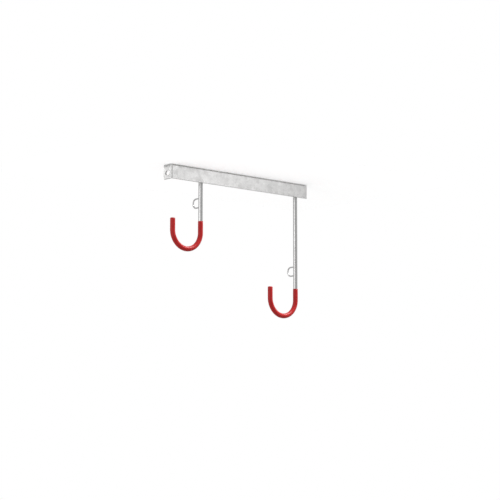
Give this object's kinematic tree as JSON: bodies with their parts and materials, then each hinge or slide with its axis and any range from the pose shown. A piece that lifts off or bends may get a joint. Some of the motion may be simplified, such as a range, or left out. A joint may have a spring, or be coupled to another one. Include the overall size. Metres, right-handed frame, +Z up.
{
  "type": "ceiling hook rack",
  "caption": "Galvanised steel angle for a ceiling with a short and a long red-coated J hook hanging from it, each with a padlock eyelet, to hang bicycles at staggered heights.",
  "frame": {"origin": "centre of the row of ceiling screw holes, on the face of the top flange that meets the ceiling; everything else hangs below it", "axes": "+X along the rail from the end plate to the plain end, +Y from the front flange to the back, +Z up into the ceiling"},
  "size_m": [0.5, 0.0435, 0.391],
  "materials": {
    "galvanised_sheet": "hot-dip zinc with a soft mottled spangle",
    "galvanised_bar": "smooth satin zinc on round bar and wire",
    "weld_bead": "rippled weld metal under zinc",
    "red_coat": "semi-gloss flexible plastic"
  },
  "bodies": {
    "root": {"rail_angle": "galvanised_sheet", "end_plate": "galvanised_sheet", "end_plate_weld": "weld_bead", "short_hook_rod": "galvanised_bar", "short_hook_coat": "red_coat", "short_hook_weld": "weld_bead", "short_eyelet": "galvanised_bar", "short_eyelet_weld": "weld_bead", "long_hook_rod": "galvanised_bar", "long_hook_coat": "red_coat", "long_hook_weld": "weld_bead", "long_eyelet": "galvanised_bar", "long_eyelet_weld": "weld_bead"}
  },
  "joints": []
}
